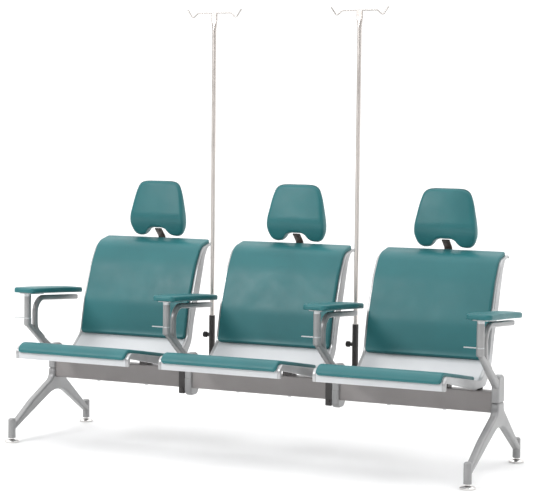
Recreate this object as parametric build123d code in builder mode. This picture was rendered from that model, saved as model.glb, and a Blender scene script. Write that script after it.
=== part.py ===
from build123d import *

import os
from math import cos, hypot, radians, sin

# Three-seat infusion chair row with two drip poles, in millimetres, +Z up and the front towards -Y.
# The row's own coordinates are x across, y towards the rear from the line midway between the
# front and rear feet, and z up from the floor. ROW_X and ROW_Y then centre its box on the origin.

# ---- driving dimensions -------------------------------------------------------------------------
PITCH = 640.0
SEAT_X = [-PITCH, 0.0, PITCH]
PLANE_X = [-1.5 * PITCH, -0.5 * PITCH, 0.5 * PITCH, 1.5 * PITCH]
END_X = [PLANE_X[0], PLANE_X[3]]
MIDDLE_X = [PLANE_X[1], PLANE_X[2]]
SIDES = (-1, 1)

LEVER_REACH = 64.0
ARM_PAD_WIDTH = 100.0
SEAT_FRONT = -368.47
ROW_REAR = 371.0
ROW_X = (LEVER_REACH - ARM_PAD_WIDTH / 2) / 2
ROW_Y = -(SEAT_FRONT + ROW_REAR) / 2

# beam and the castings clamped round it
BEAM_Y = 42.0
BEAM_Z = 266.0
BEAM_DEPTH = 48.0
BEAM_HEIGHT = 80.0
BEAM_WALL = 3.0
BEAM_CORNER = 6.0
BEAM_TOP = BEAM_Z + BEAM_HEIGHT / 2
BEAM_BOTTOM = BEAM_Z - BEAM_HEIGHT / 2
NECK_DEPTH = 72.0
NECK_WIDTH = 30.0
NECK_FRONT = BEAM_Y - NECK_DEPTH / 2
NECK_REAR = BEAM_Y + NECK_DEPTH / 2
END_WALL = 6.0
BEAM_HALF = PLANE_X[3] + NECK_WIDTH / 2 - END_WALL - 0.3
FIT = 0.3
SEAM_GAP = 1.0
CAP_WALL = 30.0
SCREW_R = 3.0
SCREW_HEAD_R = 5.0
SCREW_HEAD = 5.0
SCREW_PLACES = [(0, BEAM_Z - 12), (0, BEAM_Z + 12)]

# feet
FOOT_Y = 284.0
ANKLE_R = 15.0
ANKLE_BOTTOM = 18.0
ANKLE_TOP = 97.0
GLIDE_R = 30.0
GLIDE_STEM_R = 5.0
GLIDE_BORE_R = 5.05

# arms
ARM_WIDTH = 20.0
ARM_THICKNESS = 21.0
RAIL_END = (202, 545)
RING_TOP = (-116, 567)
STRUT_ROOT = (34, 322)
STRUT_END = (-166, 462)
STRUT_AIM = (2 * STRUT_END[0] - STRUT_ROOT[0], 2 * STRUT_END[1] - STRUT_ROOT[1])
POST_Y = -170.0
BOSS_R = 15.0
BOSS_BOTTOM = 456.0
BOSS_TOP = 487.0
LEVER_TOP = BOSS_TOP + 4.6
SLEEVE_R = 14.0
SLEEVE_TOP = 577.0
SPIGOT_R = 9.0
SPIGOT_LENGTH = 22.0
SPINDLE_LENGTH = 78.0
SPINDLE_HEAD = 14.0
SPINDLE_R = 8.0
SPINDLE_BORE_R = 8.05
PAD_TILT = 3.8
ARM_PAD_LENGTH = 396.0
ARM_PAD_THICKNESS = 24.0
ARM_PAD_Y = -8.0
ARM_PAD_Z = 579.0
PLATE_THICKNESS = 3.0

# seats: the line that the side frames' rims follow, as corners (y, z, radius) from the front lip
# over the nose, along the seat, up the back and over the top
RIM = [
    (-352, 350, 0),
    (-357, 406, 30),
    (44, 338, 70),
    (126, 405, 60),
    (156, 540, 250),
    (214, 695, 300),
    (261, 771, 60),
    (346, 790, 14),
    (351, 776, 0),
]
# the rest of a side frame's outline, from the top roll down behind the back and under the seat
SKIRT = [
    (342, 775, 0),
    (338, 780, 3),
    (298, 770, 30),
    (274, 735, 30),
    (226, 590, 400),
    (184, 490, 200),
    (160, 390, 90),
    (92, 313, 40),
    (-20, 313, 10),
    (-338, 379, 4),
    (-341, 351, 0),
]
FRAME_INNER = 242.0
FRAME_OUTER = 256.0
SHELL_FACE = -1.0
SHELL_BACK = -4.0
PAD_FROM = 0.4
PAD_TO = 15.0
SEAT_PAD_HALF = 241.0
SEAT_PAD_REAR = 13.0
SEAT_PAD_LIP = 374.0
BACK_PAD_HALF = 245.0
BACK_PAD_BOTTOM = 402.0
BACK_PAD_REAR = 342.0
MOUNT_X = 112.0
MOUNT_WIDTH = 40.0
FRAME_BOTTOM = 313.0
SEAT_BOLT_R = 4.0
SEAT_BOLT_GRIP = 22.0

# headrests
HEADREST_BACK = 359.0
SLIDE_TILT = 35.0
STEM_WIDTH = 32.0
STEM_THICKNESS = 4.0
STEM_KNEE = (374.0, 800.0)
STEM_HEAD = (334.0, 838.0)
STEM_LENGTH = 170.0
GUIDE_DISTANCE = 92.0
GUIDE_LENGTH = 40.0
GUIDE_WALL = 3.0
GUIDE_CLEARANCE = 0.15
CROSSBAR_Y = 261.0
CROSSBAR_Z = 722.0
CROSSBAR = 18.0

# drip poles
POLE_OFFSET = -29.0
POLE_Y = 272.0
POLE_R = 8.5
POLE_BOTTOM = 233.5
POLE_NECK = 1662.0
POLE_HEAD = 1698.0
BUSH_BORE_R = 8.55
BUSH_R = 10.4
SOCKET_BORE_R = 10.45
SOCKET_R = 12.5
SOCKET_BOTTOM = 228.0
SOCKET_TOP = 490.0
BUSH_BOTTOM = 300.0
KNOB_Z = 412.0
KNOB_R = 12.0
KNOB_LENGTH = 18.0
KNOB_COLLAR_R = 6.0
KNOB_COLLAR = 4.0
KNOB_SCREW_R = 3.0
KNOB_BOSS = 4.0
KNOB_GAP = 1.5
CLAMP_WIDTH = 26.0
CLAMP_THICKNESS = 6.0
CLAMP_BOTTOM = 203.0
CLAMP_TOP = 323.0
CLAMP_BOLT_Z = [BEAM_BOTTOM - 7.5, BEAM_TOP + 7.5]
HOOK_WIRE_R = 2.75
HOOK_Z = 1729.0
HOOK_BAR = 75.0
HOOK_DIP = (98.0, 1709.0)
HOOK_TIP = (122.0, 1743.0)

os.makedirs("parts", exist_ok=True)


# ---- planes and outlines ------------------------------------------------------------------------
def side_plane(x):
    """Vertical plane at x whose own axes run to the rear and up."""
    return Plane(origin=(ROW_X + x, ROW_Y, 0), x_dir=(0, 1, 0), z_dir=(1, 0, 0))


def front_plane(x, y):
    """Vertical plane through (x, y) facing the front, whose own axes run across and up."""
    return Plane(origin=(ROW_X + x, ROW_Y + y, 0), x_dir=(1, 0, 0), z_dir=(0, -1, 0))


def level(x, y, z):
    """Horizontal plane through (x, y, z)."""
    return Plane(origin=(ROW_X + x, ROW_Y + y, z))


def parallel(corners, distance):
    """Corners and radii of the line parallel to an outline, distance to the left of its run."""
    runs = []
    for (y0, z0, _), (y1, z1, _) in zip(corners, corners[1:]):
        length = hypot(y1 - y0, z1 - z0)
        runs.append(((y1 - y0) / length, (z1 - z0) / length))
    points = []
    radii = []
    for i, (y, z, radius) in enumerate(corners):
        before = runs[max(i - 1, 0)]
        after = runs[min(i, len(runs) - 1)]
        share = distance / (1 + before[0] * after[0] + before[1] * after[1])
        points.append((y - share * (before[1] + after[1]), z + share * (before[0] + after[0])))
        turn = before[0] * after[1] - before[1] * after[0]
        radii.append(radius - distance if turn > 0 else radius + distance)
    return points, radii[1:-1]


def outline(plane, corners):
    """Closed face on a plane through corners (first axis, second axis, radius)."""
    with BuildSketch(plane) as face:
        with BuildLine():
            line = FilletPolyline(
                *[(u, v) for u, v, _ in corners],
                radius=[radius for _, _, radius in corners[1:-1]],
            )
            Line(line @ 1, line @ 0)
        make_face()
    return face.sketch


def band(x, low, high):
    """Face at x between two lines parallel to the seat's rim, low and high above it."""
    low_points, low_radii = parallel(RIM, low)
    high_points, high_radii = parallel(RIM, high)
    with BuildSketch(side_plane(x)) as face:
        with BuildLine():
            lower = FilletPolyline(*low_points, radius=low_radii)
            upper = FilletPolyline(*high_points, radius=high_radii)
            Line(lower @ 0, upper @ 0)
            Line(lower @ 1, upper @ 1)
        make_face()
    return face.sketch


def beam_section(x, clearance):
    """Outline of the beam at x, grown by a clearance."""
    with BuildSketch(side_plane(x)) as face:
        with Locations((BEAM_Y, BEAM_Z)):
            RectangleRounded(
                BEAM_DEPTH + 2 * clearance,
                BEAM_HEIGHT + 2 * clearance,
                BEAM_CORNER + clearance,
            )
    return face.sketch


def disc(plane, radius, *places):
    """Round faces of one radius at places on a plane."""
    with BuildSketch(plane) as face:
        with Locations(*places):
            Circle(radius)
    return face.sketch


# ---- beam and legs ------------------------------------------------------------------------------
def make_beam():
    with BuildPart() as beam:
        extrude(beam_section(0, 0), amount=BEAM_HALF, both=True)
        extrude(beam_section(0, -BEAM_WALL), amount=BEAM_HALF, both=True, mode=Mode.SUBTRACT)
        for x in SEAT_X:
            bolts = disc(level(x, BEAM_Y, BEAM_BOTTOM), SEAT_BOLT_R + FIT, (-MOUNT_X, 0), (MOUNT_X, 0))
            extrude(bolts, amount=BEAM_HEIGHT, mode=Mode.SUBTRACT)
        for x in PLANE_X:
            screws = disc(front_plane(x, NECK_REAR), SCREW_R + FIT, *SCREW_PLACES)
            extrude(screws, amount=NECK_DEPTH / 2, mode=Mode.SUBTRACT)
    beam.part.label = "beam"
    export_step(beam.part, "parts/beam.step")


def make_leg(name, x, outward):
    with BuildPart() as leg:
        legs = outline(side_plane(x), [
            (NECK_FRONT, BEAM_Z - SEAM_GAP, 0),
            (NECK_FRONT, 227, 36),
            (-150, 153, 250),
            (-FOOT_Y, 70, 0),
            (-FOOT_Y, 47, 0),
            (-200, 85, 200),
            (46, 192, 150),
            (FOOT_Y, 41, 0),
            (FOOT_Y, 67, 0),
            (NECK_REAR, 236, 24),
            (NECK_REAR, BEAM_Z - SEAM_GAP, 0),
        ])
        extrude(legs, amount=NECK_WIDTH / 2, both=True)
        rims = leg.faces().filter_by(Axis.X).edges()
        fillet(rims.filter_by(lambda e: e.center().Z < BEAM_Z - 5), 9)
        for y in (-FOOT_Y, FOOT_Y):
            with BuildSketch(level(x, y, ANKLE_BOTTOM)):
                Circle(ANKLE_R)
            extrude(amount=ANKLE_TOP - ANKLE_BOTTOM)
        ankle_tops = leg.edges().filter_by(GeomType.CIRCLE)
        fillet(ankle_tops.filter_by(lambda e: e.center().Z > ANKLE_TOP - 1 and e.radius < ANKLE_R + 1), 10)
        pocket = beam_section(x - outward * END_WALL, FIT)
        extrude(pocket, amount=NECK_WIDTH / 2, both=True, mode=Mode.SUBTRACT)
        screw = disc(front_plane(x, NECK_REAR), SCREW_R + FIT, SCREW_PLACES[0])
        extrude(screw, amount=NECK_DEPTH / 2, mode=Mode.SUBTRACT)
        bores = disc(level(x, 0, ANKLE_BOTTOM), GLIDE_BORE_R, (0, -FOOT_Y), (0, FOOT_Y))
        extrude(bores, amount=45, mode=Mode.SUBTRACT)
    leg.part.label = name
    export_step(leg.part, f"parts/{name}.step")


def make_glide(name, x, y):
    """Levelling foot: a domed plate, a hexagon to turn it by and a threaded stem up the ankle."""
    with BuildPart() as glide:
        with BuildSketch(side_plane(x)):
            with BuildLine():
                dome = ThreePointArc((y + GLIDE_R, 6), (y + 20, 11), (y + 9, 12.5))
                Polyline(dome @ 0, (y + GLIDE_R - 1.5, 0), (y, 0), (y, 12.5), dome @ 1)
            make_face()
        revolve(axis=Axis((ROW_X + x, ROW_Y + y, 0), (0, 0, 1)))
        with BuildSketch(level(x, y, 12.5)):
            RegularPolygon(9, 6)
        extrude(amount=ANKLE_BOTTOM - 12.5)
        with BuildSketch(level(x, y, ANKLE_BOTTOM)):
            Circle(GLIDE_STEM_R)
        extrude(amount=42)
    glide.part.label = name
    export_step(glide.part, f"parts/{name}.step")


def make_clamp_caps():
    """Lower halves of the two middle clamps, wrapped under the beam."""
    with BuildPart() as clamp_caps:
        for x in MIDDLE_X:
            cap = outline(side_plane(x), [
                (NECK_FRONT, BEAM_Z - SEAM_GAP, 0),
                (NECK_FRONT, BEAM_BOTTOM - CAP_WALL, 24),
                (NECK_REAR, BEAM_BOTTOM - CAP_WALL, 24),
                (NECK_REAR, BEAM_Z - SEAM_GAP, 0),
            ])
            extrude(cap, amount=NECK_WIDTH / 2, both=True)
        rims = clamp_caps.faces().filter_by(Axis.X).edges()
        fillet(rims.filter_by(lambda e: e.center().Z < BEAM_Z - 5), 7)
        for x in MIDDLE_X:
            extrude(beam_section(x, FIT), amount=NECK_WIDTH, both=True, mode=Mode.SUBTRACT)
            screw = disc(front_plane(x, NECK_REAR), SCREW_R + FIT, SCREW_PLACES[0])
            extrude(screw, amount=NECK_DEPTH / 2, mode=Mode.SUBTRACT)
    clamp_caps.part.label = "clamp_caps"
    export_step(clamp_caps.part, "parts/clamp_caps.step")


def make_beam_screws():
    """Screws from the rear that pin each casting to the beam."""
    with BuildPart() as beam_screws:
        for x in PLANE_X:
            heads = disc(front_plane(x, NECK_REAR + SCREW_HEAD), SCREW_HEAD_R, *SCREW_PLACES)
            extrude(heads, amount=SCREW_HEAD)
            extrude(disc(front_plane(x, NECK_REAR), SCREW_R, *SCREW_PLACES), amount=20)
    beam_screws.part.label = "beam_screws"
    export_step(beam_screws.part, "parts/beam_screws.step")


# ---- arms ---------------------------------------------------------------------------------------
def across(x, start, end):
    """Plane at x across the run from start to end, both (y, z)."""
    return Plane(
        origin=(ROW_X + x, ROW_Y + start[0], start[1]),
        x_dir=(1, 0, 0),
        z_dir=(0, end[0] - start[0], end[1] - start[1]),
    )


def make_arm(name, x, outward):
    """Cast arm: neck on the beam, strut forward to the post's boss, ring and top rail."""
    with BuildPart() as arm:
        with BuildLine(side_plane(x)) as ring:
            FilletPolyline(RAIL_END, RING_TOP, (-116, 440), (-60, 398), radius=[58, 48])
        with BuildSketch(across(x, RAIL_END, RING_TOP)):
            RectangleRounded(ARM_WIDTH, ARM_THICKNESS, 7)
        sweep(path=ring.wires()[0])
        fillet(arm.faces().sort_by(Axis.Y)[-1].edges(), 6)
        with BuildSketch(across(x, STRUT_ROOT, STRUT_END)):
            RectangleRounded(27, 38, 10)
        with BuildSketch(across(x, STRUT_END, STRUT_AIM)):
            RectangleRounded(20, 20, 7)
        loft()
        boss = outline(side_plane(x), [
            (POST_Y, BOSS_TOP, 0),
            (POST_Y + BOSS_R, BOSS_TOP, 0),
            (POST_Y + BOSS_R, BOSS_BOTTOM, 9),
            (POST_Y, BOSS_BOTTOM, 0),
        ])
        revolve(boss, axis=Axis((ROW_X + x, ROW_Y + POST_Y, 0), (0, 0, 1)))
        add(neck_block(x))
        pocket = beam_section(x - outward * END_WALL, FIT)
        pocket_length = NECK_WIDTH / 2 if outward else NECK_WIDTH
        extrude(pocket, amount=pocket_length, both=True, mode=Mode.SUBTRACT)
        screw = disc(front_plane(x, NECK_REAR), SCREW_R + FIT, SCREW_PLACES[1])
        extrude(screw, amount=NECK_DEPTH / 2, mode=Mode.SUBTRACT)
        socket = disc(level(x, POST_Y, BOSS_TOP), SPIGOT_R + 0.05, (0, 0))
        extrude(socket, amount=-SPIGOT_LENGTH, mode=Mode.SUBTRACT)
    arm.part.label = name
    export_step(arm.part, f"parts/{name}.step")


def neck_block(x):
    """The neck of an arm over the beam, with its rims rounded."""
    with BuildPart() as neck:
        side = outline(side_plane(x), [
            (NECK_FRONT, BEAM_Z, 0),
            (NECK_FRONT, 330, 12),
            (12, 367, 14),
            (NECK_REAR, 367, 24),
            (NECK_REAR, BEAM_Z, 0),
        ])
        extrude(side, amount=NECK_WIDTH / 2, both=True)
        rims = neck.faces().filter_by(Axis.X).edges()
        fillet(rims.filter_by(lambda e: e.center().Z > BEAM_Z + 1), 9)
    return neck.part


def make_arm_sleeves():
    """Sleeves pressed into the bosses' spigot holes, in which the arm pads' spindles slide."""
    with BuildPart() as arm_sleeves:
        for x in PLANE_X:
            extrude(disc(level(x, POST_Y, LEVER_TOP), SLEEVE_R, (0, 0)), amount=SLEEVE_TOP - LEVER_TOP)
            spigot = disc(level(x, POST_Y, BOSS_TOP - SPIGOT_LENGTH + 1), SPIGOT_R, (0, 0))
            extrude(spigot, amount=LEVER_TOP - BOSS_TOP + SPIGOT_LENGTH - 1)
            bore = disc(level(x, POST_Y, LEVER_TOP + 4), SPINDLE_BORE_R, (0, 0))
            extrude(bore, amount=SLEEVE_TOP - LEVER_TOP, mode=Mode.SUBTRACT)
    arm_sleeves.part.label = "arm_sleeves"
    export_step(arm_sleeves.part, "parts/arm_sleeves.step")


def make_arm_spindle(name, x):
    """Spindle that lifts the arm pad, with the sloping plate that the pad is screwed to."""
    with BuildPart() as arm_spindle:
        spindle = disc(level(x, POST_Y, SLEEVE_TOP - SPINDLE_LENGTH), SPINDLE_R, (0, 0))
        extrude(spindle, amount=SPINDLE_LENGTH + SPINDLE_HEAD)
        extrude(disc(level(x, POST_Y, SLEEVE_TOP + 0.4), SLEEVE_R, (0, 0)), amount=SPINDLE_HEAD)
        with BuildSketch(pad_plane(x, -PLATE_THICKNESS)):
            with Locations((0, POST_Y + 30)):
                RectangleRounded(56, 110, 12)
        extrude(amount=PLATE_THICKNESS)
        split(bisect_by=pad_plane(x, 0), keep=Keep.BOTTOM)
    arm_spindle.part.label = name
    export_step(arm_spindle.part, f"parts/{name}.step")


def pad_plane(x, height):
    """Plane of an arm pad's underside at x, raised by height and sloping down to the rear."""
    normal = (0, sin(radians(PAD_TILT)), cos(radians(PAD_TILT)))
    return Plane(origin=(ROW_X + x, ROW_Y, ARM_PAD_Z), x_dir=(1, 0, 0), z_dir=normal).offset(height)


def make_arm_pad(name, x):
    with BuildPart() as arm_pad:
        with BuildSketch(pad_plane(x, 0.2)):
            with Locations((0, ARM_PAD_Y)):
                RectangleRounded(ARM_PAD_WIDTH, ARM_PAD_LENGTH, 42)
        extrude(amount=ARM_PAD_THICKNESS)
        fillet(arm_pad.faces().sort_by(Axis.Z)[-1].edges(), 8)
    arm_pad.part.label = name
    export_step(arm_pad.part, f"parts/{name}.step")


def make_lock_lever(name, x):
    """Clamp ring round the foot of the sleeve with a cranked handle towards the side."""
    with BuildPart() as lock_lever:
        with BuildSketch(level(x, POST_Y, BOSS_TOP + 0.3)):
            Circle(SLEEVE_R)
            with Locations((-LEVER_REACH / 2, 0)):
                SlotOverall(LEVER_REACH, 8)
            Circle(SPIGOT_R + 0.1, mode=Mode.SUBTRACT)
        extrude(amount=LEVER_TOP - BOSS_TOP - 0.6)
    lock_lever.part.label = name
    export_step(lock_lever.part, f"parts/{name}.step")


# ---- seats --------------------------------------------------------------------------------------
def make_seat_shell(name, x):
    """Bent sheet from the front lip to the top roll, between the side frames."""
    with BuildPart() as seat_shell:
        extrude(band(x, SHELL_BACK, SHELL_FACE), amount=FRAME_INNER, both=True)
    seat_shell.part.label = name
    export_step(seat_shell.part, f"parts/{name}.step")


def make_side_frames(name, x):
    """The two cast side frames of a seat."""
    with BuildPart() as side_frames:
        for side in SIDES:
            middle = x + side * (FRAME_INNER + FRAME_OUTER) / 2
            profile = outline(side_plane(middle), RIM + SKIRT)
            extrude(profile, amount=(FRAME_OUTER - FRAME_INNER) / 2, both=True)
        fillet(side_frames.faces().filter_by(Axis.X).edges(), 3)
    side_frames.part.label = name
    export_step(side_frames.part, f"parts/{name}.step")


def trimmed_pad(x, y_from, y_to, z_from, z_to, half_width):
    """Stretch of pad on the shell inside a window of y and z."""
    with BuildPart() as pad:
        extrude(band(x, PAD_FROM, PAD_TO), amount=half_width, both=True)
        with BuildSketch(side_plane(x)):
            with Locations(((y_from + y_to) / 2, (z_from + z_to) / 2)):
                Rectangle(y_to - y_from, z_to - z_from)
        extrude(amount=half_width + 1, both=True, mode=Mode.INTERSECT)
    return pad.part


def make_seat_pad(name, x):
    with BuildPart() as seat_pad:
        add(trimmed_pad(x, SEAT_FRONT - 10, SEAT_PAD_REAR, 300, 450, SEAT_PAD_HALF))
        with Locations((ROW_X + x, ROW_Y + SEAT_FRONT, 0)):
            Box(600, 60, 2 * SEAT_PAD_LIP, mode=Mode.SUBTRACT)
    seat_pad.part.label = name
    export_step(seat_pad.part, f"parts/{name}.step")


def make_back_pad(name, x):
    with BuildPart() as back_pad:
        add(trimmed_pad(x, 60, BACK_PAD_REAR, BACK_PAD_BOTTOM, 850, BACK_PAD_HALF))
    back_pad.part.label = name
    export_step(back_pad.part, f"parts/{name}.step")


def make_seat_mounts():
    """Spacers between the beam and the shells, their tops cut to the shells' undersides."""
    with BuildPart() as seat_mounts:
        for seat in SEAT_X:
            for x in (seat - MOUNT_X, seat + MOUNT_X):
                with BuildSketch(level(x, BEAM_Y, BEAM_TOP)):
                    Rectangle(MOUNT_WIDTH, BEAM_DEPTH - 4)
                extrude(amount=60)
                extrude(band(x, SHELL_BACK, 30), amount=MOUNT_WIDTH, both=True, mode=Mode.SUBTRACT)
                bolt = disc(level(x, BEAM_Y, BEAM_TOP), SEAT_BOLT_R, (0, 0))
                extrude(bolt, amount=SEAT_BOLT_GRIP, mode=Mode.SUBTRACT)
    seat_mounts.part.label = "seat_mounts"
    export_step(seat_mounts.part, "parts/seat_mounts.step")


def make_mount_pads():
    """Rubber pads on the beam under the side frames."""
    with BuildPart() as mount_pads:
        for seat in SEAT_X:
            for side in SIDES:
                x = seat + side * (FRAME_INNER + FRAME_OUTER) / 2
                with BuildSketch(level(x, BEAM_Y, BEAM_TOP)):
                    Rectangle(FRAME_OUTER - FRAME_INNER - 2, BEAM_DEPTH - 10)
                extrude(amount=FRAME_BOTTOM - BEAM_TOP)
    mount_pads.part.label = "mount_pads"
    export_step(mount_pads.part, "parts/mount_pads.step")


def make_seat_bolts():
    """Hexagon bolts up through the beam into the seat mounts."""
    with BuildPart() as seat_bolts:
        for seat in SEAT_X:
            for x in (seat - MOUNT_X, seat + MOUNT_X):
                with BuildSketch(level(x, BEAM_Y, BEAM_BOTTOM)):
                    RegularPolygon(7.5, 6)
                extrude(amount=-5.5)
                shank = disc(level(x, BEAM_Y, BEAM_BOTTOM), SEAT_BOLT_R, (0, 0))
                extrude(shank, amount=BEAM_HEIGHT + SEAT_BOLT_GRIP)
    seat_bolts.part.label = "seat_bolts"
    export_step(seat_bolts.part, "parts/seat_bolts.step")


# ---- headrests ----------------------------------------------------------------------------------
def stem_point(distance):
    """Point on the stem's straight run, distance down from its knee."""
    return (
        STEM_KNEE[0] - distance * sin(radians(SLIDE_TILT)),
        STEM_KNEE[1] - distance * cos(radians(SLIDE_TILT)),
    )


def make_headrest_guides():
    """Crossbars between the side frames, each with the guide that a headrest stem slides in."""
    guide = stem_point(GUIDE_DISTANCE)
    with BuildPart() as headrest_guides:
        for x in SEAT_X:
            with BuildSketch(side_plane(x)):
                with Locations((CROSSBAR_Y, CROSSBAR_Z)):
                    RectangleRounded(CROSSBAR, CROSSBAR, 3)
            extrude(amount=FRAME_INNER, both=True)
            arm = outline(side_plane(x), [
                (CROSSBAR_Y, CROSSBAR_Z - 8, 0),
                (guide[0], guide[1] - 8, 0),
                (guide[0], guide[1] + 8, 0),
                (CROSSBAR_Y, CROSSBAR_Z + 8, 0),
            ])
            extrude(arm, amount=STEM_WIDTH / 2, both=True)
            with BuildSketch(across(x, stem_point(GUIDE_DISTANCE + GUIDE_LENGTH / 2), STEM_KNEE)):
                RectangleRounded(STEM_WIDTH + 2 * GUIDE_WALL + 1, STEM_THICKNESS + 2 * GUIDE_WALL + 1, 2)
            extrude(amount=GUIDE_LENGTH)
            with BuildSketch(across(x, stem_point(GUIDE_DISTANCE + GUIDE_LENGTH), STEM_KNEE)):
                Rectangle(STEM_WIDTH + 2 * GUIDE_CLEARANCE, STEM_THICKNESS + 2 * GUIDE_CLEARANCE)
            extrude(amount=2 * GUIDE_LENGTH, mode=Mode.SUBTRACT)
    headrest_guides.part.label = "headrest_guides"
    export_step(headrest_guides.part, "parts/headrest_guides.step")


def make_headrest_stem(name, x):
    """Flat bar up through the guide, cranked forward over the back, with its screw's head."""
    crank = (STEM_HEAD[0] - STEM_KNEE[0], STEM_HEAD[1] - STEM_KNEE[1])
    screw_place = Plane(
        origin=(ROW_X + x, ROW_Y + STEM_KNEE[0] + 0.7 * crank[0], STEM_KNEE[1] + 0.7 * crank[1]),
        x_dir=(1, 0, 0),
        z_dir=(0, -crank[1], crank[0]),
    )
    with BuildPart() as headrest_stem:
        with BuildLine(side_plane(x)) as run:
            FilletPolyline(stem_point(STEM_LENGTH), STEM_KNEE, STEM_HEAD, radius=[16])
        with BuildSketch(across(x, stem_point(STEM_LENGTH), STEM_KNEE)):
            Rectangle(STEM_WIDTH, STEM_THICKNESS)
        sweep(path=run.wires()[0])
        extrude(disc(screw_place, 4, (0, 0)), amount=STEM_THICKNESS / 2 + 2.5)
    headrest_stem.part.label = name
    export_step(headrest_stem.part, f"parts/{name}.step")


def make_headrest(name, x):
    """Curved pad with a lobe each side of the notch that straddles the stem."""
    with BuildPart() as headrest:
        with BuildSketch(front_plane(x, HEADREST_BACK)):
            with BuildLine():
                notch = Line((0, 842), (20, 842))
                arch = ThreePointArc(notch @ 1, (46, 832), (57, 814))
                lobe = ThreePointArc(arch @ 1, (88, 808), (118, 826))
                flank = Spline(lobe @ 1, (132, 866), (115, 950), (98, 1008), tangents=[(0.5, 1), (-0.4, 1)])
                crown = ThreePointArc(flank @ 1, (84, 1029), (58, 1037))
                Line(crown @ 1, (0, 1039))
                mirror(about=Plane.YZ)
            make_face()
        extrude(amount=70)
        side = outline(side_plane(x), [
            (HEADREST_BACK, 790, 0),
            (336, 790, 0),
            (300, 880, 90),
            (338, 1045, 0),
            (HEADREST_BACK, 1045, 0),
        ])
        extrude(side, amount=140, both=True, mode=Mode.INTERSECT)
    headrest.part.label = name
    export_step(headrest.part, f"parts/{name}.step")


# ---- drip poles ---------------------------------------------------------------------------------
def make_pole_bracket(name, x):
    """Rear clamp plate, arm and socket tube that carry a drip pole behind the row."""
    plate_y = BEAM_Y + BEAM_DEPTH / 2 + 0.2
    with BuildPart() as pole_bracket:
        with BuildSketch(front_plane(x, plate_y + CLAMP_THICKNESS)):
            with Locations((0, (CLAMP_BOTTOM + CLAMP_TOP) / 2)):
                RectangleRounded(CLAMP_WIDTH, CLAMP_TOP - CLAMP_BOTTOM, 3)
        extrude(amount=CLAMP_THICKNESS)
        with BuildSketch(front_plane(x, POLE_Y)):
            with Locations((0, BEAM_Z)):
                RectangleRounded(20, 30, 4)
        extrude(amount=POLE_Y - plate_y - CLAMP_THICKNESS)
        extrude(disc(level(x, POLE_Y, SOCKET_BOTTOM), SOCKET_R, (0, 0)), amount=SOCKET_TOP - SOCKET_BOTTOM)
        extrude(disc(knob_plane(x, 0), 8, (0, 0)), amount=SOCKET_R + KNOB_BOSS)
        bore = disc(level(x, POLE_Y, SOCKET_BOTTOM + 5), SOCKET_BORE_R, (0, 0))
        extrude(bore, amount=SOCKET_TOP, mode=Mode.SUBTRACT)
        extrude(disc(knob_plane(x, 5), KNOB_SCREW_R + 0.05, (0, 0)), amount=20, mode=Mode.SUBTRACT)
        bolt_places = [(0, z) for z in CLAMP_BOLT_Z]
        bolts = disc(front_plane(x, plate_y + CLAMP_THICKNESS), SEAT_BOLT_R + FIT, *bolt_places)
        extrude(bolts, amount=CLAMP_THICKNESS, mode=Mode.SUBTRACT)
    pole_bracket.part.label = name
    export_step(pole_bracket.part, f"parts/{name}.step")


def knob_plane(x, reach):
    """Plane at the knob's height facing the left, reach out from the socket's axis."""
    return Plane(
        origin=(ROW_X + x - reach, ROW_Y + POLE_Y, KNOB_Z),
        x_dir=(0, 1, 0),
        z_dir=(-1, 0, 0),
    )


def make_clamp_plates():
    """Front plates of the two pole clamps."""
    plate_y = BEAM_Y - BEAM_DEPTH / 2 - 0.2
    with BuildPart() as clamp_plates:
        for plane in MIDDLE_X:
            x = plane + POLE_OFFSET
            with BuildSketch(front_plane(x, plate_y)):
                with Locations((0, (CLAMP_BOTTOM + CLAMP_TOP) / 2)):
                    RectangleRounded(CLAMP_WIDTH, CLAMP_TOP - CLAMP_BOTTOM, 3)
                with Locations(*[(0, z) for z in CLAMP_BOLT_Z]):
                    Circle(SEAT_BOLT_R + FIT, mode=Mode.SUBTRACT)
            extrude(amount=CLAMP_THICKNESS)
    clamp_plates.part.label = "clamp_plates"
    export_step(clamp_plates.part, "parts/clamp_plates.step")


def make_clamp_bolts():
    """Bolts and nuts above and below the beam that draw the clamp plates together."""
    front = BEAM_Y - BEAM_DEPTH / 2 - 0.2 - CLAMP_THICKNESS
    rear = BEAM_Y + BEAM_DEPTH / 2 + 0.2 + CLAMP_THICKNESS
    with BuildPart() as clamp_bolts:
        for plane in MIDDLE_X:
            for z in CLAMP_BOLT_Z:
                x = plane + POLE_OFFSET
                extrude(disc(front_plane(x, rear + 8), SEAT_BOLT_R, (0, z)), amount=rear - front + 8)
                extrude(disc(front_plane(x, front), 7, (0, z)), amount=4)
                with BuildSketch(front_plane(x, rear + 6.5)):
                    with Locations((0, z)):
                        RegularPolygon(7.5, 6)
                extrude(amount=6.5)
    clamp_bolts.part.label = "clamp_bolts"
    export_step(clamp_bolts.part, "parts/clamp_bolts.step")


def make_pole_bush(name, x):
    """Plastic bush that turns in the socket and grips the pole."""
    with BuildPart() as pole_bush:
        with BuildSketch(level(x, POLE_Y, BUSH_BOTTOM)):
            Circle(BUSH_R)
            Circle(BUSH_BORE_R, mode=Mode.SUBTRACT)
        extrude(amount=SOCKET_TOP - BUSH_BOTTOM + 0.4)
        with BuildSketch(level(x, POLE_Y, SOCKET_TOP + 0.4)):
            Circle(SOCKET_R)
            Circle(BUSH_BORE_R, mode=Mode.SUBTRACT)
        extrude(amount=2)
    pole_bush.part.label = name
    export_step(pole_bush.part, f"parts/{name}.step")


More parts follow.
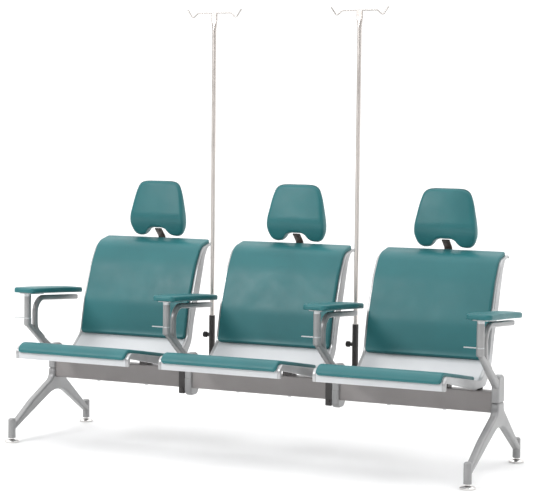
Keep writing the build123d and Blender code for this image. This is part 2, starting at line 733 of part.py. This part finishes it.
def make_iv_pole(name, x):
    """Steel pole, flattened at its head under the hook wire."""
    with BuildPart() as iv_pole:
        with BuildSketch(level(x, POLE_Y, POLE_BOTTOM)):
            Circle(POLE_R)
        extrude(amount=POLE_NECK - POLE_BOTTOM)
        with BuildSketch(level(x, POLE_Y, POLE_NECK)):
            Circle(POLE_R)
        with BuildSketch(level(x, POLE_Y, POLE_HEAD)):
            RectangleRounded(27, 8, 3.9)
        loft()
        with BuildSketch(level(x, POLE_Y, POLE_HEAD)):
            RectangleRounded(27, 8, 3.9)
        extrude(amount=HOOK_Z - POLE_HEAD)
        groove = disc(side_plane(x), HOOK_WIRE_R + 0.05, (POLE_Y, HOOK_Z))
        extrude(groove, amount=20, both=True, mode=Mode.SUBTRACT)
    iv_pole.part.label = name
    export_step(iv_pole.part, f"parts/{name}.step")


def make_bag_hook(name, x):
    """Bent wire across the pole's head with a drop and an upturned tip each side."""
    with BuildPart() as bag_hook:
        with BuildLine(front_plane(x, POLE_Y)) as wire:
            FilletPolyline(
                (-HOOK_TIP[0], HOOK_TIP[1]),
                (-HOOK_DIP[0], HOOK_DIP[1]),
                (-HOOK_BAR, HOOK_Z),
                (HOOK_BAR, HOOK_Z),
                HOOK_DIP,
                HOOK_TIP,
                radius=[9, 12, 12, 9],
            )
        tip_plane = Plane(
            origin=(ROW_X + x - HOOK_TIP[0], ROW_Y + POLE_Y, HOOK_TIP[1]),
            x_dir=(0, 1, 0),
            z_dir=(HOOK_TIP[0] - HOOK_DIP[0], 0, HOOK_DIP[1] - HOOK_TIP[1]),
        )
        with BuildSketch(tip_plane):
            Circle(HOOK_WIRE_R)
        sweep(path=wire.wires()[0])
    bag_hook.part.label = name
    export_step(bag_hook.part, f"parts/{name}.step")


def make_pole_knob(name, x):
    """Round knob with a collar and the screw that presses on the bush."""
    tip = BUSH_R + KNOB_GAP
    collar = SOCKET_R + KNOB_BOSS + 0.5
    with BuildPart() as pole_knob:
        extrude(disc(knob_plane(x, tip), KNOB_SCREW_R, (0, 0)), amount=collar - tip)
        extrude(disc(knob_plane(x, collar), KNOB_COLLAR_R, (0, 0)), amount=KNOB_COLLAR)
        grip = disc(knob_plane(x, collar + KNOB_COLLAR), KNOB_R, (0, 0))
        extrude(grip, amount=KNOB_LENGTH)
        rims = pole_knob.edges().filter_by(GeomType.CIRCLE)
        fillet(rims.filter_by(lambda e: e.radius > KNOB_R - 1), 5)
    pole_knob.part.label = name
    export_step(pole_knob.part, f"parts/{name}.step")


# ---- every piece --------------------------------------------------------------------------------
make_beam()
make_leg("leg_left", PLANE_X[0], -1)
make_leg("leg_right", PLANE_X[3], 1)
for side, x in zip(("left", "right"), END_X):
    make_glide(f"glide_{side}_front", x, -FOOT_Y)
    make_glide(f"glide_{side}_rear", x, FOOT_Y)
make_clamp_caps()
make_beam_screws()
make_arm_sleeves()
for number, (x, outward) in enumerate(zip(PLANE_X, (-1, 0, 0, 1)), 1):
    make_arm(f"arm_{number}", x, outward)
    make_arm_spindle(f"arm_spindle_{number}", x)
    make_arm_pad(f"arm_pad_{number}", x)
    make_lock_lever(f"lock_lever_{number}", x)
make_seat_mounts()
make_mount_pads()
make_seat_bolts()
make_headrest_guides()
for number, x in enumerate(SEAT_X, 1):
    make_seat_shell(f"seat_shell_{number}", x)
    make_side_frames(f"side_frames_{number}", x)
    make_seat_pad(f"seat_pad_{number}", x)
    make_back_pad(f"back_pad_{number}", x)
    make_headrest_stem(f"headrest_stem_{number}", x)
    make_headrest(f"headrest_{number}", x)
make_clamp_plates()
make_clamp_bolts()
for number, plane in enumerate(MIDDLE_X, 1):
    make_pole_bracket(f"pole_bracket_{number}", plane + POLE_OFFSET)
    make_pole_bush(f"pole_bush_{number}", plane + POLE_OFFSET)
    make_iv_pole(f"iv_pole_{number}", plane + POLE_OFFSET)
    make_bag_hook(f"bag_hook_{number}", plane + POLE_OFFSET)
    make_pole_knob(f"pole_knob_{number}", plane + POLE_OFFSET)
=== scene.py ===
import math

import bmesh
import bpy
import numpy as np
from mathutils import Matrix, Vector


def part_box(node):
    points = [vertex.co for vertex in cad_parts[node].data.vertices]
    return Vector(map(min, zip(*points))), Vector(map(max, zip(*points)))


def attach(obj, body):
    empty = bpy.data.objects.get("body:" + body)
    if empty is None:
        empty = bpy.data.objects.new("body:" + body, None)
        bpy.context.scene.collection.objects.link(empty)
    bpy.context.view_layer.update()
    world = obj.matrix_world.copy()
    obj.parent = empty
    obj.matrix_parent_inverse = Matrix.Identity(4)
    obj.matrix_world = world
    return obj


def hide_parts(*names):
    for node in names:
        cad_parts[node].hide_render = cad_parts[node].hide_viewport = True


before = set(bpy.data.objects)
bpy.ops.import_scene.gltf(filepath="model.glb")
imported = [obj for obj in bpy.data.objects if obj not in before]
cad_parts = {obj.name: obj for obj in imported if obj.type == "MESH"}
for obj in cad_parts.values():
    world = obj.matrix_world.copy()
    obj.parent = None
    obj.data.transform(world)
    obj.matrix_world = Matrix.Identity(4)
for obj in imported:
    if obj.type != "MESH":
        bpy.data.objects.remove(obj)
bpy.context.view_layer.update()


# ---- where the row stands -----------------------------------------------------------------------
def centre(node):
    low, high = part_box(node)
    return (low + high) / 2


GLIDES = ["glide_left_front", "glide_left_rear", "glide_right_front", "glide_right_rear"]
ROW_X = sum(centre(n).x for n in GLIDES) / 4
ROW_Y = sum(centre(n).y for n in GLIDES) / 4
PITCH = 0.640
SEAT_X = [ROW_X + i * PITCH for i in (-1, 0, 1)]
PLANE_X = [ROW_X + i * PITCH for i in (-1.5, -0.5, 0.5, 1.5)]


# ---- camera, lights and floor -------------------------------------------------------------------
FRAME_WIDTH_PX = 533
SENSOR_MM = 36.0
FOCAL_PX = 1768.9
CAMERA_AZIMUTH = math.radians(25.55)
CAMERA_PITCH = math.radians(4.17)
CAMERA_ROLL = math.radians(0.58)
WORLD_FRONT = 0.15
WORLD_REAR = 1.15
WORLD_TOP = 2.2
CAMERA_PLACE = Vector((2.979 + ROW_X, -6.176 + ROW_Y, 1.285))


def add_camera():
    data = bpy.data.cameras.new("camera")
    data.sensor_width = SENSOR_MM
    data.lens = FOCAL_PX / FRAME_WIDTH_PX * SENSOR_MM
    data.clip_end = 200
    cam = bpy.data.objects.new("camera", data)
    bpy.context.scene.collection.objects.link(cam)
    a, p = CAMERA_AZIMUTH, CAMERA_PITCH
    forward = Vector((-math.sin(a) * math.cos(p), math.cos(a) * math.cos(p), -math.sin(p)))
    right = Vector((math.cos(a), math.sin(a), 0))
    up = right.cross(forward)
    right, up = (
        right * math.cos(CAMERA_ROLL) + up * math.sin(CAMERA_ROLL),
        up * math.cos(CAMERA_ROLL) - right * math.sin(CAMERA_ROLL),
    )
    cam.matrix_world = Matrix.Translation(CAMERA_PLACE) @ Matrix((right, up, -forward)).transposed().to_4x4()
    bpy.context.scene.camera = cam


def add_light(name, place, target, size, power):
    data = bpy.data.lights.new(name, "AREA")
    data.shape = "RECTANGLE"
    data.size, data.size_y = size
    data.energy = power
    lamp = bpy.data.objects.new(name, data)
    bpy.context.scene.collection.objects.link(lamp)
    lamp.location = place
    lamp.rotation_mode = "QUATERNION"
    lamp.rotation_quaternion = (Vector(target) - Vector(place)).to_track_quat("-Z", "Y")


def add_stage(floor_material):
    mesh = bpy.data.meshes.new("floor")
    r = 60
    mesh.from_pydata([(-r, -r, 0), (r, -r, 0), (r, r, 0), (-r, r, 0)], [], [(0, 1, 2, 3)])
    mesh.materials.append(floor_material)
    floor = bpy.data.objects.new("floor", mesh)
    floor.location.z = -0.0005
    bpy.context.scene.collection.objects.link(floor)
    bpy.context.scene.world = studio_world()
    bpy.context.scene.view_settings.view_transform = "Standard"


def studio_world():
    """A room with a white wall behind the row and a bright ceiling, dimmer towards its front."""
    world = bpy.data.worlds.new("studio")
    world.use_nodes = True
    tree = world.node_tree
    background = tree.nodes["Background"]
    direction = tree.nodes.new("ShaderNodeSeparateXYZ")
    tree.links.new(tree.nodes.new("ShaderNodeTexCoord").outputs["Generated"], direction.inputs[0])

    def graded(value, low, high, to_low, to_high):
        node = tree.nodes.new("ShaderNodeMapRange")
        node.interpolation_type = "SMOOTHSTEP"
        for key, number in zip(("From Min", "From Max", "To Min", "To Max"), (low, high, to_low, to_high)):
            node.inputs[key].default_value = number
        tree.links.new(value, node.inputs["Value"])
        return node.outputs["Result"]

    mix = tree.nodes.new("ShaderNodeMix")
    tree.links.new(graded(direction.outputs["Z"], 0.45, 0.95, 0.0, 1.0), mix.inputs[0])
    tree.links.new(graded(direction.outputs["Y"], -0.3, 0.5, WORLD_FRONT, WORLD_REAR), mix.inputs[2])
    mix.inputs[3].default_value = WORLD_TOP
    tree.links.new(mix.outputs[0], background.inputs["Strength"])
    background.inputs["Color"].default_value = (1, 1, 1, 1)
    return world


# ---- materials ----------------------------------------------------------------------------------
def linear(r, g, b):
    """Scene-linear colour of an sRGB colour in 0 to 255."""
    def one(v):
        v /= 255
        return v / 12.92 if v <= 0.04045 else ((v + 0.055) / 1.055) ** 2.4
    return one(r), one(g), one(b), 1.0


class Nodes:
    """A material's node tree with short ways to add what the finishes need."""

    def __init__(self, name):
        self.material = bpy.data.materials.new(name)
        self.material.use_nodes = True
        self.tree = self.material.node_tree
        self.shader = self.tree.nodes["Principled BSDF"]
        self.place = self.add("ShaderNodeTexCoord").outputs["Object"]

    def add(self, kind, **values):
        node = self.tree.nodes.new(kind)
        for key, value in values.items():
            setattr(node, key, value)
        return node

    def link(self, a, b):
        self.tree.links.new(a, b)

    def stretched(self, scale):
        mapping = self.add("ShaderNodeMapping")
        mapping.inputs["Scale"].default_value = scale
        self.link(self.place, mapping.inputs["Vector"])
        return mapping.outputs["Vector"]

    def noise(self, scale, detail=2.0, rough=0.5, place=None):
        node = self.add("ShaderNodeTexNoise")
        node.inputs["Scale"].default_value = scale
        node.inputs["Detail"].default_value = detail
        node.inputs["Roughness"].default_value = rough
        self.link(place or self.place, node.inputs["Vector"])
        return node.outputs["Fac"]

    def cells(self, scale):
        node = self.add("ShaderNodeTexVoronoi")
        node.inputs["Scale"].default_value = scale
        self.link(self.place, node.inputs["Vector"])
        return node.outputs["Distance"]

    def range(self, value, low, high, to_low, to_high):
        node = self.add("ShaderNodeMapRange")
        for key, number in zip(("From Min", "From Max", "To Min", "To Max"), (low, high, to_low, to_high)):
            node.inputs[key].default_value = number
        self.link(value, node.inputs["Value"])
        return node.outputs["Result"]

    def blend(self, value, first, second):
        node = self.add("ShaderNodeMix", data_type="RGBA")
        self.link(value, node.inputs[0])
        for socket, colour in ((node.inputs[6], first), (node.inputs[7], second)):
            if isinstance(colour, tuple):
                socket.default_value = colour
            else:
                self.link(colour, socket)
        return node.outputs[2]

    def bump(self, height, strength, distance, before=None):
        node = self.add("ShaderNodeBump")
        node.inputs["Strength"].default_value = strength
        node.inputs["Distance"].default_value = distance
        self.link(height, node.inputs["Height"])
        if before is not None:
            self.link(before, node.inputs["Normal"])
        return node.outputs["Normal"]

    def set(self, **values):
        names = {
            "metallic": "Metallic", "coat": "Coat Weight", "coat_roughness": "Coat Roughness",
            "specular": "Specular IOR Level",
        }
        for key, value in values.items():
            self.shader.inputs[names[key]].default_value = value

    def finish(self, colour, roughness, normal=None):
        self.link(colour, self.shader.inputs["Base Color"])
        self.link(roughness, self.shader.inputs["Roughness"])
        if normal is not None:
            self.link(normal, self.shader.inputs["Normal"])
        return self.material


def pad_material():
    """Self-skinned foam: satin skin with a fine leather grain, and painted shade making it a little darker
    in its hollows.
    """
    n = Nodes("pad_skin")
    drift = n.range(n.noise(5.0, 3.0), 0.35, 0.65, 0.0, 1.0)
    base = n.blend(drift, linear(38, 103, 107), linear(43, 110, 114))
    grain = n.cells(900.0)
    fine = n.noise(1600.0, 2.0)
    # painted shade: the grain's pits, which sit low in the bump below, are blended towards a deeper green
    grain_hollow_shade = n.range(grain, 0.0, 0.6, 0.16, 0.0)
    colour = n.blend(grain_hollow_shade, base, linear(34, 89, 92))
    rough = n.range(n.noise(14.0, 4.0), 0.3, 0.7, 0.37, 0.46)
    normal = n.bump(grain, 0.12, 0.0004)
    normal = n.bump(fine, 0.08, 0.0002, normal)
    n.set(specular=0.36)
    return n.finish(colour, rough, normal)


def powder_coat(name, light, dark, rough, metallic, pebble=700.0, depth=0.00025):
    """Powder coat: fine orange peel, faint clouding and slightly duller patches."""
    n = Nodes(name)
    clouds = n.range(n.noise(7.0, 4.0), 0.3, 0.7, 0.0, 1.0)
    colour = n.blend(clouds, linear(*dark), linear(*light))
    roughness = n.range(n.noise(22.0, 5.0), 0.3, 0.7, rough - 0.04, rough + 0.05)
    normal = n.bump(n.noise(pebble, 2.0), 0.18, depth)
    n.set(metallic=metallic, coat=0.12, coat_roughness=0.3)
    return n.finish(colour, roughness, normal)


def drawn_metal(name, light, dark, rough, stretch=(260.0, 260.0, 3.0)):
    """Metal drawn or polished along one axis, with fine streaks and soft handling marks."""
    n = Nodes(name)
    streaks = n.noise(1.0, 3.0, 0.6, n.stretched(stretch))
    marks = n.noise(9.0, 5.0, 0.6)
    colour = n.blend(n.range(streaks, 0.2, 0.8, 0.0, 1.0), linear(*dark), linear(*light))
    roughness = n.range(marks, 0.3, 0.75, rough - 0.05, rough + 0.09)
    normal = n.bump(streaks, 0.1, 0.00004)
    n.set(metallic=1.0)
    return n.finish(colour, roughness, normal)


def plated(name, light, dark, rough):
    """Bright plate with faint haze."""
    n = Nodes(name)
    haze = n.noise(60.0, 5.0, 0.6)
    colour = n.blend(n.range(haze, 0.3, 0.7, 0.0, 1.0), linear(*dark), linear(*light))
    roughness = n.range(haze, 0.3, 0.75, rough, rough + 0.08)
    normal = n.bump(n.noise(350.0, 2.0), 0.05, 0.0001)
    n.set(metallic=1.0)
    return n.finish(colour, roughness, normal)


def moulded(name, light, dark, rough, grain=1100.0, depth=0.0002):
    """Moulded plastic or rubber with a fine spark-eroded texture."""
    n = Nodes(name)
    clouds = n.range(n.noise(12.0, 4.0), 0.3, 0.7, 0.0, 1.0)
    colour = n.blend(clouds, linear(*dark), linear(*light))
    roughness = n.range(n.noise(40.0, 4.0), 0.3, 0.7, rough - 0.05, rough + 0.06)
    normal = n.bump(n.noise(grain, 3.0), 0.25, depth)
    return n.finish(colour, roughness, normal)


def floor_finish():
    n = Nodes("floor_paint")
    colour = n.blend(n.noise(0.4, 2.0), linear(243, 243, 243), linear(247, 247, 247))
    return n.finish(colour, n.range(n.noise(3.0, 2.0), 0.3, 0.7, 0.72, 0.8))


PAD = pad_material()
SHELL = powder_coat("shell_powder", (203, 205, 207), (195, 197, 200), 0.36, 0.1)
FRAME = powder_coat("frame_casting", (184, 185, 186), (158, 158, 159), 0.34, 0.45, 420.0, 0.0005)
CASTING = powder_coat("casting_powder", (157, 157, 157), (145, 145, 146), 0.38, 0.35, 520.0, 0.0004)
BEAM = powder_coat("beam_powder", (143, 139, 138), (134, 130, 129), 0.42, 0.15)
BLACK = powder_coat("black_paint", (60, 56, 55), (48, 45, 45), 0.42, 0.0)
STAINLESS = drawn_metal("drawn_stainless", (224, 217, 212), (205, 198, 193), 0.34)
WIRE = drawn_metal("hook_wire", (186, 181, 177), (164, 159, 155), 0.3, (500.0, 500.0, 40.0))
ZINC = drawn_metal("zinc_plate", (205, 207, 208), (180, 183, 185), 0.3, (500.0, 500.0, 40.0))
CHROME = plated("bright_chrome", (232, 230, 228), (214, 212, 210), 0.09)
NYLON = moulded("black_nylon", (44, 43, 43), (32, 31, 31), 0.48)
RUBBER = moulded("black_rubber", (38, 37, 37), (28, 27, 27), 0.78, 600.0, 0.0004)
BAR = powder_coat("stem_paint", (84, 73, 66), (66, 58, 54), 0.4, 0.2)

FINISHES = [
    ("beam_screws", ZINC), ("beam", BEAM), ("leg_", CASTING), ("glide_", CHROME), ("clamp_caps", CASTING),
    ("arm_sleeves", CASTING), ("arm_spindle_", ZINC), ("arm_", CASTING), ("lock_lever_", ZINC),
    ("seat_mounts", BLACK), ("mount_pads", RUBBER), ("seat_bolts", ZINC), ("headrest_guides", BLACK),
    ("seat_shell_", SHELL), ("side_frames_", FRAME), ("headrest_stem_", BAR), ("clamp_plates", BLACK),
    ("clamp_bolts", BLACK), ("pole_bracket_", BLACK), ("pole_bush_", NYLON), ("iv_pole_", STAINLESS),
    ("bag_hook_", WIRE), ("pole_knob_", NYLON),
]


def finish_cad_nodes():
    for name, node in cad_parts.items():
        finish = next((f for start, f in FINISHES if name.startswith(start)), PAD)
        node.data.materials.clear()
        node.data.materials.append(finish)


# ---- mesh helpers -------------------------------------------------------------------------------
def add_piece(name, verts, faces, finish, body, slot, smooth_angle=40):
    mesh = bpy.data.meshes.new(name)
    mesh.from_pydata([tuple(v) for v in verts], [], faces)
    bm = bmesh.new()
    bm.from_mesh(mesh)
    bmesh.ops.remove_doubles(bm, verts=bm.verts, dist=1e-6)
    bmesh.ops.recalc_face_normals(bm, faces=bm.faces)
    bm.to_mesh(mesh)
    bm.free()
    mesh.materials.append(finish)
    obj = bpy.data.objects.new(name, mesh)
    bpy.context.scene.collection.objects.link(obj)
    mesh.polygons.foreach_set("use_smooth", [True] * len(mesh.polygons))
    mesh.set_sharp_from_angle(angle=math.radians(smooth_angle))
    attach(obj, body)
    return obj


def bridged(loops):
    """Vertices and faces of a closed skin over loops of equal length, with its ends capped."""
    count = len(loops[0])
    verts = [p for loop in loops for p in loop]
    faces = []
    for i in range(len(loops) - 1):
        for j in range(count):
            k = (j + 1) % count
            faces.append((i * count + j, i * count + k, (i + 1) * count + k, (i + 1) * count + j))
    faces.append(tuple(range(count)))
    last = (len(loops) - 1) * count
    faces.append(tuple(range(last + count - 1, last - 1, -1)))
    return verts, faces


def rounded(corners, steps=14):
    """Points along a line of corners (u, v, radius), each corner an arc of its radius."""
    points = [Vector(corners[0][:2])]
    for before, (u, v, radius), after in zip(corners, corners[1:-1], corners[2:]):
        corner = Vector((u, v))
        back = (Vector(before[:2]) - corner).normalized()
        on = (Vector(after[:2]) - corner).normalized()
        half = back.angle(on) / 2
        start = corner + back * (radius / math.tan(half))
        middle = corner + (back + on).normalized() * (radius / math.sin(half))
        first = start - middle
        end = corner + on * (radius / math.tan(half)) - middle
        turn = first.angle_signed(end)
        for k in range(steps + 1):
            angle = -turn * k / steps
            c, s = math.cos(angle), math.sin(angle)
            points.append(middle + Vector((first.x * c - first.y * s, first.x * s + first.y * c)))
    points.append(Vector(corners[-1][:2]))
    return np.array([tuple(p) for p in points])


def resampled(line, places):
    """Points and left-hand normals of a polyline at distances along it."""
    runs = np.linalg.norm(np.diff(line, axis=0), axis=1)
    keep = np.concatenate([[True], runs > 1e-9])
    line = line[keep]
    along = np.concatenate([[0], np.cumsum(np.linalg.norm(np.diff(line, axis=0), axis=1))])
    places = np.clip(places, 0, along[-1])

    def at(s):
        s = np.clip(s, 0, along[-1])
        return np.stack([np.interp(s, along, line[:, 0]), np.interp(s, along, line[:, 1])], 1)

    reach = 0.004
    tangent = at(places + reach) - at(places - reach)
    tangent /= np.linalg.norm(tangent, axis=1)[:, None]
    return at(places), np.stack([-tangent[:, 1], tangent[:, 0]], 1)


def length_of(line):
    return float(np.linalg.norm(np.diff(line, axis=0), axis=1).sum())


def eased_places(length, edge, middle_step):
    """Distances along a strip, close together within edge of each end."""
    near = edge * (1 - np.cos(np.linspace(0, math.pi / 2, 9)))
    count = max(4, int((length - 2 * edge) / middle_step))
    middle = np.linspace(edge, length - edge, count)
    return np.concatenate([near[:-1], middle, (length - near)[::-1][1:]])


# ---- seat and back pads -------------------------------------------------------------------------
# the line that the shells follow, as corners (y, z, radius) from the front lip to the top roll
RIM = [
    (-0.352, 0.350, 0), (-0.357, 0.406, 0.030), (0.044, 0.338, 0.070), (0.126, 0.405, 0.060),
    (0.156, 0.540, 0.250), (0.214, 0.695, 0.300), (0.261, 0.771, 0.060), (0.346, 0.790, 0.014),
    (0.351, 0.776, 0),
]
SEAT_PAD_LIP = 0.374
SEAT_NOSE_Y = -0.3
SEAT_PAD_REAR = 0.013
BACK_PAD_FRONT = 0.06
BACK_PAD_BOTTOM = 0.405
PAD_UNDERSIDE = 0.0004
PAD_DEPTH = 0.0146
PAD_EDGE = 0.0065
PAD_CORNER = 0.014
PAD_CROWN = 0.0012


def moulded_pad(name, x, line, half_width, node, body):
    """Foam pad moulded onto a stretch of the shell, with rounded rims and corners and a slight crown."""
    length = length_of(line)
    places = eased_places(length, PAD_CORNER, 0.010)
    points, normals = resampled(line, places)
    share = np.concatenate([
        -1 + (1 - np.cos(np.linspace(0, math.pi / 2, 8))) * 0.06,
        np.linspace(-0.92, 0.92, 21),
        1 - (1 - np.cos(np.linspace(math.pi / 2, 0, 8))) * 0.06,
    ])
    loops = []
    for s, point, normal in zip(places, points, normals):
        end = min(s, length - s)
        inset = max(0.0, PAD_CORNER - end)
        half = half_width - (PAD_CORNER - math.sqrt(max(0.0, PAD_CORNER**2 - inset**2)))
        loop = []
        for c in share:
            across = c * half
            side = half_width * (1 - abs(c))
            lack = math.hypot(max(0.0, PAD_EDGE - side), max(0.0, PAD_EDGE - end))
            drop = PAD_EDGE - math.sqrt(max(0.0, PAD_EDGE**2 - min(lack, PAD_EDGE) ** 2))
            crown = PAD_CROWN * (c * c + (2 * s / length - 1) ** 2) / 2
            height = PAD_DEPTH - crown - drop
            place = point + normal * height
            loop.append((x + across, ROW_Y + place[0], place[1]))
        foot = point + normal * PAD_UNDERSIDE
        for c in (1.0, 0.5, 0.0, -0.5, -1.0):
            loop.append((x + c * half, ROW_Y + foot[0], foot[1]))
        loops.append(loop)
    pad = add_piece(name, *bridged(loops), PAD, body, "pad_green", 50)
    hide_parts(node)
    return pad


def cut_line(line, keep):
    """The stretch of a dense polyline whose points pass a test."""
    dense = resampled(line, np.arange(0, length_of(line), 0.0005))[0]
    return dense[[keep(y, z) for y, z in dense]]


def add_pads():
    rim = rounded(RIM)
    seat_low, seat_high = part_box("seat_pad_2")
    back_low, back_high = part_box("back_pad_2")
    seat_half = (seat_high.x - seat_low.x) / 2
    back_half = (back_high.x - back_low.x) / 2
    seat_line = cut_line(rim, lambda y, z: y < SEAT_PAD_REAR and (z > SEAT_PAD_LIP or y > SEAT_NOSE_Y))
    back_rear = back_high.y - ROW_Y - 0.001
    back_line = cut_line(rim, lambda y, z: BACK_PAD_FRONT < y < back_rear and z > BACK_PAD_BOTTOM)
    for number, x in enumerate(SEAT_X, 1):
        moulded_pad(f"seat_foam_{number}", x, seat_line, seat_half - 0.0005, f"seat_pad_{number}", "row")
        moulded_pad(f"back_foam_{number}", x, back_line, back_half - 0.0005, f"back_pad_{number}", "row")


# ---- headrests ----------------------------------------------------------------------------------
# front and rear of a headrest as corners (y, z, radius), and half of its outline as (x, z)
HEAD_FACE = [(0.336, 0.790, 0), (0.300, 0.880, 0.090), (0.338, 1.045, 0)]
HEAD_REAR = [(0.3580, 0.790, 0), (0.3580, 0.890, 0.200), (0.3570, 1.045, 0)]
HEAD_OUTLINE = [
    (0.000, 0.842), (0.020, 0.842), (0.034, 0.838), (0.046, 0.830), (0.054, 0.819), (0.064, 0.811),
    (0.080, 0.808), (0.096, 0.809), (0.110, 0.816), (0.1195, 0.830), (0.1265, 0.852), (0.1275, 0.876),
    (0.1245, 0.905), (0.1185, 0.940), (0.1120, 0.975), (0.1040, 1.003), (0.0940, 1.022), (0.0790, 1.0330),
    (0.0550, 1.0380), (0.0000, 1.0385),
]
HEAD_MIDDLE = (0.0, 0.915)
HEAD_ROUND = 0.013
HEAD_HALF = 0.13
HEAD_FACE_BOW = 0.007
HEAD_REAR_BOW = -0.002


def smooth_closed(points, count):
    """Evenly spaced points on a Catmull-Rom loop through points."""
    p = np.array(points)
    dense = []
    for i in range(len(p)):
        a, b, c, d = p[i - 1], p[i], p[(i + 1) % len(p)], p[(i + 2) % len(p)]
        for t in np.linspace(0, 1, 24, endpoint=False):
            dense.append(0.5 * (2 * b + (c - a) * t + (2 * a - 5 * b + 4 * c - d) * t * t
                                + (3 * b - a - 3 * c + d) * t**3))
    dense.append(dense[0])
    dense = np.array(dense)
    along = np.concatenate([[0], np.cumsum(np.linalg.norm(np.diff(dense, axis=0), axis=1))])
    places = np.linspace(0, along[-1], count, endpoint=False)
    return np.stack([np.interp(places, along, dense[:, 0]), np.interp(places, along, dense[:, 1])], 1)


def add_headrests():
    face = rounded(HEAD_FACE, 30)
    rear = rounded(HEAD_REAR, 30)
    left = [(-u, v) for u, v in reversed(HEAD_OUTLINE[1:-1])]
    edge = smooth_closed(HEAD_OUTLINE + left, 144)
    middle = np.array(HEAD_MIDDLE)
    reach = np.linalg.norm(edge - middle, axis=1)

    def depth(line, z):
        return float(np.interp(z, line[:, 1], line[:, 0]))

    insets = [0, 0.0012, 0.003, 0.0055, 0.009, 0.013]
    shares = [0.82, 0.72, 0.6, 0.46, 0.32, 0.18, 0.06]
    for number, x in enumerate(SEAT_X, 1):
        rings = []
        for side, line in ((1, face), (-1, rear)):
            stack = []
            for inset in insets:
                drop = HEAD_ROUND - math.sqrt(max(0.0, HEAD_ROUND**2 - (HEAD_ROUND - inset) ** 2))
                stack.append((1 - inset / reach, drop))
            for share in shares:
                stack.append((np.full(len(edge), share), 0.0))
            made = []
            for scale, drop in stack:
                flat = middle + (edge - middle) * np.asarray(scale)[:, None]
                ring = []
                for u, v in flat:
                    bow = (HEAD_FACE_BOW if side > 0 else HEAD_REAR_BOW) * (u / HEAD_HALF) ** 2
                    y = depth(line, v) + bow + side * drop
                    ring.append((x + u, ROW_Y + y, v))
                made.append(ring)
            rings.append(made)
        loops = rings[0][::-1] + rings[1]
        head = add_piece(f"head_foam_{number}", *bridged(loops), PAD, f"head_{number}", "pad_green", 60)
        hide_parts(f"headrest_{number}")


# ---- arm pads -----------------------------------------------------------------------------------
ARM_PAD_LENGTH = 0.396
ARM_PAD_HALF = 0.0495
ARM_PAD_DEPTH = 0.0235
ARM_PAD_EDGE = 0.008
ARM_PAD_TILT = math.radians(3.8)
ARM_PAD_Y = -0.008
ARM_PAD_Z = 0.5795
ARM_HOLLOW = 0.0055
ARM_CORNER_FRONT = 0.020
ARM_CORNER_REAR = 0.026


def arm_pad_half(s):
    """Half width of an arm pad at s, from -1 at its front to 1 at its rear."""
    corner = ARM_CORNER_FRONT if s < 0 else ARM_CORNER_REAR
    lack = max(0.0, corner - (1 - abs(s)) * ARM_PAD_LENGTH / 2)
    waist = 1 - 0.10 * math.exp(-(((s - 0.2) / 0.4) ** 2)) - 0.04 * max(0.0, s)
    return ARM_PAD_HALF * waist - (corner - math.sqrt(max(0.0, corner**2 - lack**2)))


def add_arm_pads():
    places = -np.cos(np.linspace(0, math.pi, 61))
    places = 0.6 * places + 0.4 * np.linspace(-1, 1, 61)
    share = np.sin(np.linspace(-math.pi / 2, math.pi / 2, 33))
    c, s_tilt = math.cos(ARM_PAD_TILT), math.sin(ARM_PAD_TILT)
    for number, x in enumerate(PLANE_X, 1):
        loops = []
        for s in places:
            half = arm_pad_half(s)
            end = (1 - abs(s)) * ARM_PAD_LENGTH / 2
            top, under = [], []
            for u in share:
                side = min(half * (1 - abs(u)), end)
                lack = max(0.0, ARM_PAD_EDGE - side)
                drop = ARM_PAD_EDGE - math.sqrt(max(0.0, ARM_PAD_EDGE**2 - lack**2))
                inside = max(0.0, 1 - (u / 0.86) ** 2)
                lengthwise = max(0.0, 1 - ((s + 0.05) / 0.8) ** 4)
                hollow = ARM_HOLLOW * inside * lengthwise
                swell = 0.0025 * math.exp(-(((s - 0.62) / 0.2) ** 2)) * inside
                height = ARM_PAD_DEPTH - 0.003 * (abs(s) ** 3) - drop - hollow + swell
                top.append((half * u, height))
                under.append((half * u, 0.0002 + 0.6 * max(0.0, 0.004 - side)))
            loop = []
            for u, height in top + under[::-1]:
                y = s * ARM_PAD_LENGTH / 2 + ARM_PAD_Y
                loop.append((x + u, ROW_Y + y * c + height * s_tilt, ARM_PAD_Z - y * s_tilt + height * c))
            loops.append(loop)
        pad = add_piece(f"arm_foam_{number}", *bridged(loops), PAD, f"armrest_{number}", "pad_green", 60)
        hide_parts(f"arm_pad_{number}")


# ---- the row ------------------------------------------------------------------------------------
add_camera()
add_stage(floor_finish())
add_light("key", (-2.3, -3.7, 3.2), (0, 0, 0.6), (2.4, 0.7), 105)
add_light("fill", (4.8, -2.6, 2.6), (0, 0, 0.5), (2.0, 2.0), 12)
finish_cad_nodes()
add_pads()
add_headrests()
add_arm_pads()
